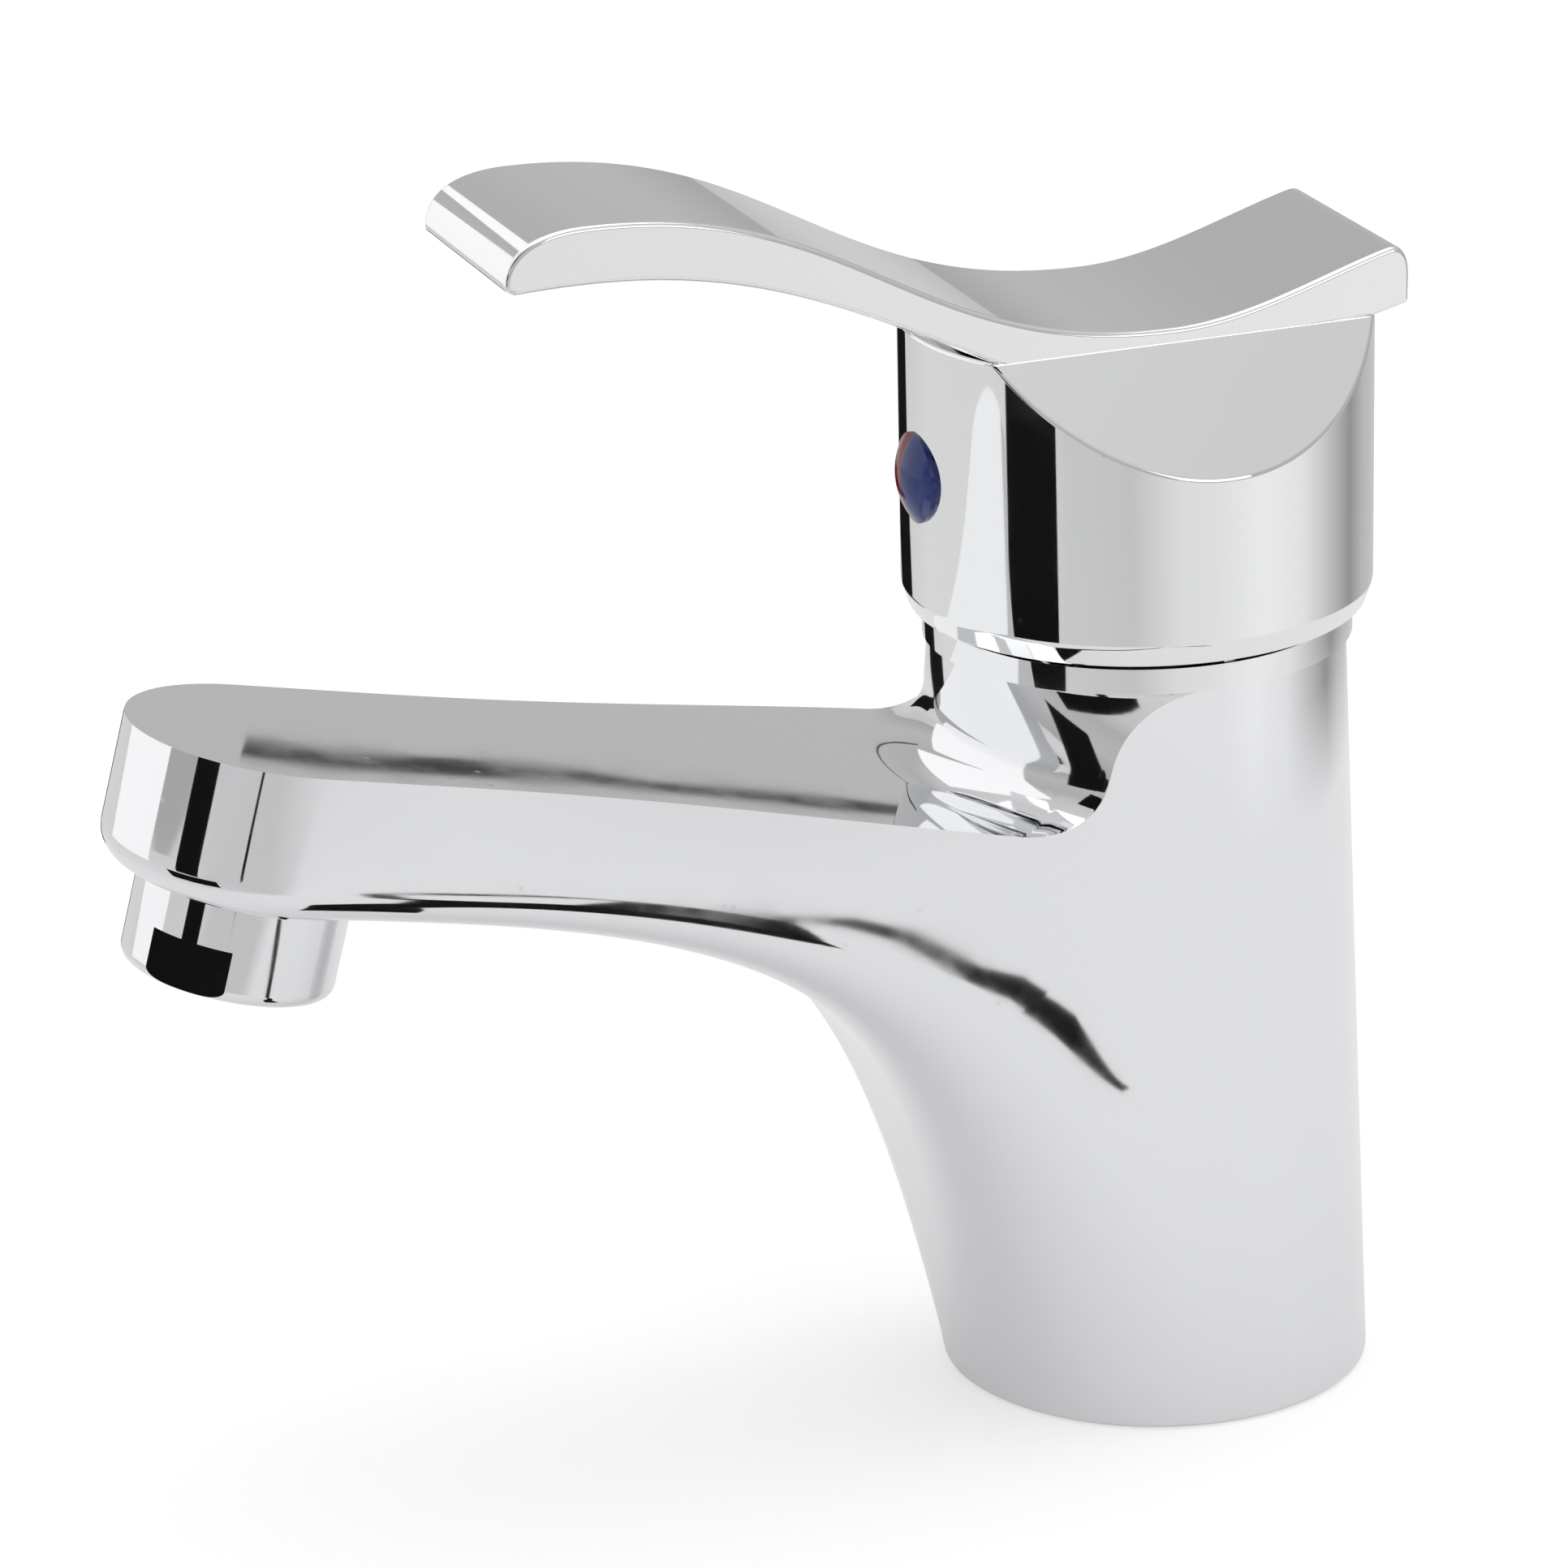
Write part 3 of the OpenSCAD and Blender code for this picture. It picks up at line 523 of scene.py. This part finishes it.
    # the neck: rim, nut seat and cartridge chamber
    step = openEdges(lambda c: abs(c.z - s["neckHeight"]) < 0.01)
    for r, z in ((s["nutRadius"], s["neckHeight"]), (s["nutRadius"], s["nutFloor"]),
                 (s["chamberRadius"], s["nutFloor"]), (s["chamberRadius"], s["chamberFloor"])):
        step = stepTo(step, r, z, (0, -s["axisShift"]))
    bmesh.ops.contextual_create(bm, geom=step)
    bmesh.ops.recalc_face_normals(bm, faces=bm.faces)

    # rounds along the spout's edges, clear of the foot and of the neck's bore, and round the foot
    inner = s["neckRadius"] - 0.7

    def outside(e):
        c = (e.verts[0].co + e.verts[1].co) / 2 / mm
        return 20 < c.z < s["neckHeight"] - 0.8 and hypot(c.x, c.y + s["axisShift"]) > inner

    def atFoot(e):
        return all(abs(v.co.z) < 1e-6 and v.co.xy.length > inner * mm for v in e.verts)

    softenEdges(bm, sharpEdges(bm, 40, outside), s["edgeSoftness"])
    softenEdges(bm, sharpEdges(bm, 60, atFoot), s["footSoftness"])
    print("body open edges", sum(len(e.link_faces) == 1 for e in bm.edges))
    return finishPiece(bm, "castBody", "tap", finishes["bodyChrome"], ["body"])


buildBody(bodySizes)


leverSizes = {
    "capRadius": 29.0, "boreRadius": 27.5, "rimHeight": 100.9, "capTop": 137.4, "ceiling": 120.0,
    "rimRound": ((0, 2.9), (0.15, 2.2), (0.9, 0.15), (1.1, 0)),  # (inset, height) above the cap's rim
    "axisShift": 2.0, "plateWidth": 30.0, "plateSoftness": 0.7, "cornerSoftness": 0.4,
    "flankTop": 137.3, "flankSlope": (13.4, 14.0), "flankSoftness": 0.45, "rimSoftness": 0.12,
}
leverOutline = {  # side view in (y, z): steps and the four pulls of a curve, or no steps and plain points
    "nose": (18, (-87.3, 153.7), (-87.3, 158.1), (-83.5, 160.3), (-77.0, 160.3)),
    "fall": (44, (-77.0, 160.3), (-43.0, 160.3), (-37.0, 138.9), (-3.0, 138.9)),
    "rise": (22, (-3.0, 138.9), (7.0, 138.9), (16.0, 143.1), (25.0, 145.4)),
    "heel": (10, (25.0, 145.4), (26.8, 145.8), (27.6, 143.9), (27.6, 141.9)),
    "back": (0, (27.6, 141.9), (27.6, 138.2), (23.0, 137.1), (10.0, 136.5), (-24.0, 136.5)),
    "under": (36, (-26.0, 137.0), (-48.0, 148.0), (-60.0, 154.5), (-86.0, 153.0)),
    "lip": (0, (-86.0, 153.0)),
}


def buildLever(s, curves):
    outline = []
    for steps, *points in curves.values():
        outline += [cubic(*points, k / steps) for k in range(steps)] if steps else points

    bm = bmesh.new()
    half = s["plateWidth"] / 2
    bendLoop(bm, [(-half, y, z) for y, z in outline])
    made = bmesh.ops.extrude_face_region(bm, geom=bm.faces[:])["geom"]
    bmesh.ops.translate(bm, verts=[g for g in made if isinstance(g, bmesh.types.BMVert)],
                        vec=(2 * half * mm, 0, 0))
    bmesh.ops.recalc_face_normals(bm, faces=bm.faces)
    rims = [e for e in bm.edges
            if len(e.link_faces) == 2 and any(len(f.verts) > 8 for f in e.link_faces)]
    softenEdges(bm, rims, s["plateSoftness"], 4)
    softenEdges(bm, sharpEdges(bm, 50), s["cornerSoftness"])

    # cap: revolved shell, then the two flanks are cut away
    cap = bmesh.new()
    r, b, z0 = s["capRadius"], s["boreRadius"], s["rimHeight"]
    profile = [(0.0, s["capTop"]), (r, s["capTop"])] + [(r - inset, z0 + up) for inset, up in s["rimRound"]]
    profile += [(b, z0), (b, s["ceiling"]), (0.0, s["ceiling"])]
    revolve(cap, profile, (0, -s["axisShift"], 0), steps=192)
    tidy(cap)
    for side in (1, -1):
        normal = Vector((s["flankSlope"][0] * side, 0, s["flankSlope"][1])).normalized()
        point = Vector((side * half, 0, s["flankTop"])) * mm
        made = bmesh.ops.bisect_plane(cap, geom=cap.verts[:] + cap.edges[:] + cap.faces[:], plane_co=point,
                                      plane_no=normal, clear_outer=True, dist=1e-7)
        edges = [g for g in made["geom_cut"] if isinstance(g, bmesh.types.BMEdge)]
        bmesh.ops.contextual_create(cap, geom=edges)
    tidy(cap)

    def onFlank(e):
        return min(v.co.z for v in e.verts) > (s["ceiling"] + 2) * mm

    def onRim(e):
        return (max(v.co.z for v in e.verts) < (z0 + 1.1) * mm
                and min(v.co.xy.length for v in e.verts) > (b - 1.5) * mm)

    softenEdges(cap, sharpEdges(cap, 25, onFlank), s["flankSoftness"])
    softenEdges(cap, sharpEdges(cap, 60, onRim), s["rimSoftness"], 2)
    held = bpy.data.meshes.new("capPart")
    cap.to_mesh(held)
    cap.free()
    bm.from_mesh(held)
    bpy.data.meshes.remove(held)
    return finishPiece(bm, "leverCap", "lever", finishes["leverChrome"], ["handle"])


buildLever(leverSizes, leverOutline)


# finishes of the pieces that keep their own shape, and of the two that are replaced
keptFinishes = {
    "blackRubber": ["base_seal", "port_seal_hot", "port_seal_cold", "port_seal_outlet", "disc_gasket",
                    "trim_seal", "aerator_washer"],
    "whitePlastic": ["cartridge_base", "disc_carrier", "cartridge_shell", "glide_ring", "spindle_bush",
                     "jet_insert"],
    "greyPlastic": ["rotor", "outlet_grid"],
    "lappedCeramic": ["fixed_disc", "moving_disc"],
    "turnedBrass": ["spindle", "clamp_nut"],
    "plainSteel": ["pivot_pin", "set_screw", "mixing_screen"],
    "plugPlastic": ["mark_plug"], "blueEnamel": ["cold_mark"], "redEnamel": ["hot_mark"],
    "ringChrome": ["trim_ring"], "aeratorChrome": ["aerator_housing"],
    "bodyChrome": ["body"], "leverChrome": ["handle"],
}
finishOf = {node: finish for finish, nodes in keptFinishes.items() for node in nodes}
for name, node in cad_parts.items():
    node.data.materials.clear()
    node.data.materials.append(finishes[finishOf[name]])
print("finishes put on", len(finishOf), "nodes")


def plainMaterial(name, colour, seenGlow=0.0, mirroredGlow=0.0):
    # matt card; it can add light of its own, apart for the camera and for what metal reflects
    material, nodes, links, shader = startMaterial(name)
    shader.inputs["Base Color"].default_value = (colour, colour, colour, 1)
    shader.inputs["Roughness"].default_value = 0.9
    shader.inputs["Specular IOR Level"].default_value = 0.0
    if seenGlow or mirroredGlow:
        path = nodes.new("ShaderNodeLightPath")
        shader.inputs["Emission Color"].default_value = (1, 1, 1, 1)
        parts = []
        for ray, glow in (("Is Camera Ray", seenGlow), ("Is Glossy Ray", mirroredGlow)):
            share = nodes.new("ShaderNodeMath")
            share.operation = "MULTIPLY"
            share.inputs[1].default_value = glow
            links.new(path.outputs[ray], share.inputs[0])
            parts.append(share)
        total = nodes.new("ShaderNodeMath")
        links.new(parts[0].outputs[0], total.inputs[0])
        links.new(parts[1].outputs[0], total.inputs[1])
        links.new(total.outputs[0], shader.inputs["Emission Strength"])
    return material


def stageMesh(name, bm, material):
    mesh = bpy.data.meshes.new(name)
    bm.to_mesh(mesh)
    bm.free()
    mesh.materials.append(material)
    thing = bpy.data.objects.new(name, mesh)
    bpy.context.scene.collection.objects.link(thing)
    return thing


def panel(name, middle, facing, width, height, material):
    bm = bmesh.new()
    bmesh.ops.create_grid(bm, x_segments=1, y_segments=1, size=0.5)
    turn = Vector(facing).to_track_quat("Z", "Y").to_matrix().to_4x4()
    spot = Matrix.Translation(middle) @ turn @ Matrix.Diagonal((width, height, 1, 1))
    bmesh.ops.transform(bm, matrix=spot, verts=bm.verts)
    return stageMesh(name, bm, material)


view = {"azimuth": 69.503, "elevation": 20.0, "roll": -1.275, "aim": (0, -48.84, 82.82), "distance": 0.9,
        "focalPixels": 9109.25, "framePixels": 1932, "sensor": 36}
viewAzimuth, viewElevation, viewRoll = (radians(view[key]) for key in ("azimuth", "elevation", "roll"))
floorLook = {"colour": 0.82, "seenGlow": 0.45, "mirroredGlow": 0.2, "plainWithin": 0.24, "shadedFrom": 0.3,
             "z": -0.0002, "size": 12}
# painted reflection: the shade that metal reflects of the floor further out, by bearing to the left of the
# camera in degrees; only reflections meet it, the camera and diffuse light meet the plain floor colour
paintedReflectionByBearing = [(-180, 0.6), (-135, 0.4), (-119, 0.15), (-82, 0.82), (-60, 0.93), (-33, 0.8), (-17, 0.77),
                  (5, 0.54), (35, 0.62), (46, 0.75), (120, 0.75), (150, 0.6), (180, 0.6)]


def makeFloor(look):
    material = plainMaterial("paleFloor", look["colour"], look["seenGlow"], look["mirroredGlow"])
    nodes, links = material.node_tree.nodes, material.node_tree.links
    shader = nodes["Principled BSDF"]

    def node(kind, *sources, **settings):
        made = nodes.new(kind)
        for key, value in settings.items():
            setattr(made, key, value)
        for slot, source in enumerate(sources):
            if hasattr(source, "links"):
                links.new(source, made.inputs[slot])
            else:
                made.inputs[slot].default_value = source
        return made

    place = node("ShaderNodeNewGeometry").outputs["Position"]
    turned = node("ShaderNodeVectorRotate", place, rotation_type="Z_AXIS")
    turned.inputs["Angle"].default_value = pi - viewAzimuth
    apart = node("ShaderNodeSeparateXYZ", turned.outputs[0])
    bearing = node("ShaderNodeMath", apart.outputs["X"], apart.outputs["Y"], operation="ARCTAN2")
    share = node("ShaderNodeMapRange", bearing.outputs[0], -pi, pi)
    ramp = node("ShaderNodeValToRGB", share.outputs[0])
    stops = ramp.color_ramp.elements
    for _ in paintedReflectionByBearing[2:]:
        stops.new(0.5)
    for stop, (angle, level) in zip(stops, paintedReflectionByBearing):
        stop.position = (angle + 180) / 360
        stop.color = (level, level, level, 1)
    away = node("ShaderNodeVectorMath", place, operation="LENGTH")
    outside = node("ShaderNodeMapRange", away.outputs["Value"], look["plainWithin"], look["shadedFrom"])
    # painted reflection: outside plainWithin, glossy rays see the floor in the ramp's shades by bearing
    # instead of its plain colour
    ray = node("ShaderNodeLightPath").outputs["Is Glossy Ray"]
    mirrored = node("ShaderNodeMath", ray, outside.outputs[0], operation="MULTIPLY")
    colour = node("ShaderNodeMix", data_type="RGBA")
    colour.inputs["A"].default_value = (look["colour"],) * 3 + (1,)
    links.new(mirrored.outputs[0], colour.inputs["Factor"])
    links.new(ramp.outputs["Color"], colour.inputs["B"])
    links.new(colour.outputs["Result"], shader.inputs["Base Color"])
    panel("floor", (0, 0, look["z"]), (0, 0, 1), look["size"], look["size"], material)


makeFloor(floorLook)
darkCard = plainMaterial("darkCard", 0.012)
lineCard = plainMaterial("lineCard", 0.08)
brightCard = plainMaterial("brightCard", 0.82, 0.0, 0.55)
softbox = plainMaterial("softbox", 0.3, 0.0, 0.92)

towards = Vector((sin(viewAzimuth), -cos(viewAzimuth), 0))
side = Vector((cos(viewAzimuth), sin(viewAzimuth), 0))
back = towards * cos(viewElevation) + Vector((0, 0, sin(viewElevation)))
up = back.cross(side)
cameraData = bpy.data.cameras.new("camera")
cameraData.sensor_width = view["sensor"]
cameraData.lens = view["focalPixels"] / view["framePixels"] * view["sensor"]
cameraData.clip_start = 0.01
cameraData.clip_end = 50
camera = bpy.data.objects.new("camera", cameraData)
bpy.context.scene.collection.objects.link(camera)
rolledSide = side * cos(viewRoll) + up * sin(viewRoll)
rolledUp = up * cos(viewRoll) - side * sin(viewRoll)
stand = Matrix((rolledSide, rolledUp, back)).transposed().to_4x4()
stand.translation = Vector(view["aim"]) * mm + view["distance"] * back
camera.matrix_world = stand
bpy.context.scene.camera = camera
print("camera set")


def beside(left, near, z):
    # a place given to the left of the foot and towards the camera
    return towards * near - side * left + Vector((0, 0, z))


cards = {  # from and to as (left, near), height and finish
    "lowFlag": ((0.19, 0.23), (0.28, 0.132), 0.054, darkCard),
    "tallFlag": ((0.46, 0.5), (0.6, 0.385), 0.26, darkCard),
    "leftWall": ((0.62, -0.62), (0.72, 0.16), 0.42, brightCard),
}
upright = Vector((0, 0, 1))
for name, (a, b, high, finish) in cards.items():
    start, end = beside(*a, 0), beside(*b, 0)
    along, middle = end - start, (start + end) / 2 + upright * high / 2
    card = panel(name, middle, along.cross(upright), along.length, high, finish)
    card.visible_camera = False


def ribbon(name, path, z):
    # dark strip on the floor along (left, near, half width) in millimetres, met only by reflections
    bm = bmesh.new()

    def place(i, k):
        before, after = path[max(0, i - 1)], path[min(len(path) - 1, i + 1)]
        along = Vector((after[0] - before[0], after[1] - before[1])).normalized()
        shift = path[i][2] * (1 if k else -1)
        return beside(path[i][0] - along.y * shift, path[i][1] + along.x * shift, z)

    bendGrid(bm, len(path) - 1, 1, place)
    strip = stageMesh(name, bm, darkCard)
    strip.visible_camera = strip.visible_diffuse = strip.visible_shadow = False


ribbons = {  # path as (left, near, half width), and height over the deck
    "edgeStrip": ([(76, 72, 9), (54, 107, 8), (23, 132, 7), (-14, 180, 5), (-34, 221, 2.2), (-42, 217, 2.2),
                   (-50, 208, 3), (-60, 187, 4), (-70, 175, 5.5), (-77, 152, 6), (-78, 118, 1)], 0.3),
    "edgeSheet": ([(190, -150, 8), (176, -230, 30), (150, -335, 78), (185, -450, 92)], -0.15),
    "tipLine": ([(162, 540, 8), (178, 655, 10), (192, 860, 13)], -0.15),
}
for name, (path, z) in ribbons.items():
    ribbon(name, path, z)


def hangingLine(name, path, near, material):
    # upright strip behind the foot along (left, height, half width) in millimetres
    bm = bmesh.new()
    bendGrid(bm, len(path) - 1, 1,
             lambda i, k: beside(path[i][0], near, path[i][1] + path[i][2] * (1 if k else -1)))
    return stageMesh(name, bm, material)


def skyCard(name, low, high, material, far=1000, eyeHeight=95, steps=6):
    # card in the air between two lines, each from one (bearing, elevation) to another in degrees
    bm = bmesh.new()

    def place(i, k):
        (a, e), (b, f) = high if k else low
        bearing, rise = radians(a + (b - a) * i / steps), radians(e + (f - e) * i / steps)
        level = far * cos(rise)
        return beside(level * sin(bearing), level * cos(bearing), far * sin(rise) + eyeHeight)

    bendGrid(bm, steps, 1, place)
    return stageMesh(name, bm, material)


# dark card behind the foot, hidden from the camera, whose reflection is the wavy dark line along the
# spout's top face
topLinePath = [(103.3, 135.2, 1.4), (98.8, 134.2, 1.4), (92, 132.9, 1.3), (83.3, 130.3, 1.3),
               (74.6, 127.6, 1.35), (65.8, 125.1, 1.2), (57, 122.6, 0.95), (48, 120.6, 0.7),
               (40.2, 118.5, 0.75), (32.5, 116.4, 0.8), (21.3, 113.6, 0.9), (12, 111.2, 0.7)]
topLine = hangingLine("topLine", topLinePath, -120, lineCard)
# dark card above the near side, met by the neck just under the ring
highFlag = skyCard("highFlag", ((48, 19), (8, 52)), ((55, 38), (-5, 70)), darkCard)
# lamp box high on the left, met by what the neck and the cap see in the spout's top face
leftBox = panel("leftBox", beside(0.8, -0.36, 0.8), beside(-0.8, 0.36, -0.78), 1.5, 0.5, softbox)
for card in (topLine, highFlag, leftBox):
    card.visible_camera = False
print("cards set")

world = bpy.data.worlds.new("studio")
bpy.context.scene.world = world
world.use_nodes = True
skyNodes, skyLinks = world.node_tree.nodes, world.node_tree.links
direction = skyNodes.new("ShaderNodeTexCoord")
split = skyNodes.new("ShaderNodeSeparateXYZ")
skyLinks.new(direction.outputs["Generated"], split.inputs[0])
ramp = skyNodes.new("ShaderNodeValToRGB")
skyLinks.new(split.outputs["Z"], ramp.inputs["Fac"])
sky = [(0.0, 0.42), (0.16, 0.52), (0.3, 0.5), (0.46, 0.47), (0.62, 0.6), (0.88, 0.68), (1.0, 0.95)]
ramp.color_ramp.elements[0].position = sky[0][0]
ramp.color_ramp.elements[1].position = sky[-1][0]
for position, _ in sky[1:-1]:
    ramp.color_ramp.elements.new(position)
for element, (_, level) in zip(ramp.color_ramp.elements, sky):
    element.color = (level, level, level * 1.005, 1)
skyLinks.new(ramp.outputs["Color"], skyNodes["Background"].inputs["Color"])

lamps = {  # place, direction, size and power
    "over": ((-0.15, -0.1, 1.6), (0.08, 0.05, -1), 1.5, 6),
    "nearSide": ((1.6, 0.5, 0.9), (-1, -0.3, -0.5), 0.8, 2),
}
for name, (where, facing, size, power) in lamps.items():
    light = bpy.data.lights.new(name, "AREA")
    light.size = size
    light.energy = power
    lamp = bpy.data.objects.new(name, light)
    turn = Vector(facing).to_track_quat("-Z", "Y").to_matrix().to_4x4()
    lamp.matrix_world = Matrix.Translation(where) @ turn
    bpy.context.scene.collection.objects.link(lamp)

bpy.context.scene.view_settings.view_transform = "Standard"
print("stage set")
